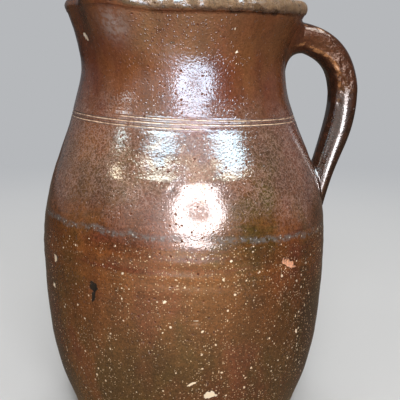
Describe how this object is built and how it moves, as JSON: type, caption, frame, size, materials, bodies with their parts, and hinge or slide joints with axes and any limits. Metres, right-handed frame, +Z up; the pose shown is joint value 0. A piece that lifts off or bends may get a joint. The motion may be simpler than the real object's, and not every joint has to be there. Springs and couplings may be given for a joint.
{
  "type": "stoneware pitcher",
  "caption": "Wheel-thrown stoneware pitcher with a barrel belly, waisted neck, rolled rim, pulled pouring lip and luted loop handle, for holding and pouring liquids.",
  "frame": {"origin": "middle of the flat foot, on the turning axis", "axes": "+Z up along the turning axis; +X from the axis towards the handle; the pouring lip is 225 degrees anticlockwise from the handle, seen from above"},
  "size_m": [0.2055, 0.1834, 0.2645],
  "materials": {
    "body_glaze": "glossy brown slip glaze over stoneware, speckled and orange-peeled",
    "handle_glaze": "glossy dark brown glaze, worn to tan on the upper curve",
    "joint_glaze": "glossy dark brown glaze pooled in the joints"
  },
  "bodies": {
    "root": {"thrown_body": "body_glaze", "pulled_handle": "handle_glaze", "upper_joint_clay": "joint_glaze", "lower_joint_clay": "joint_glaze"}
  },
  "joints": []
}
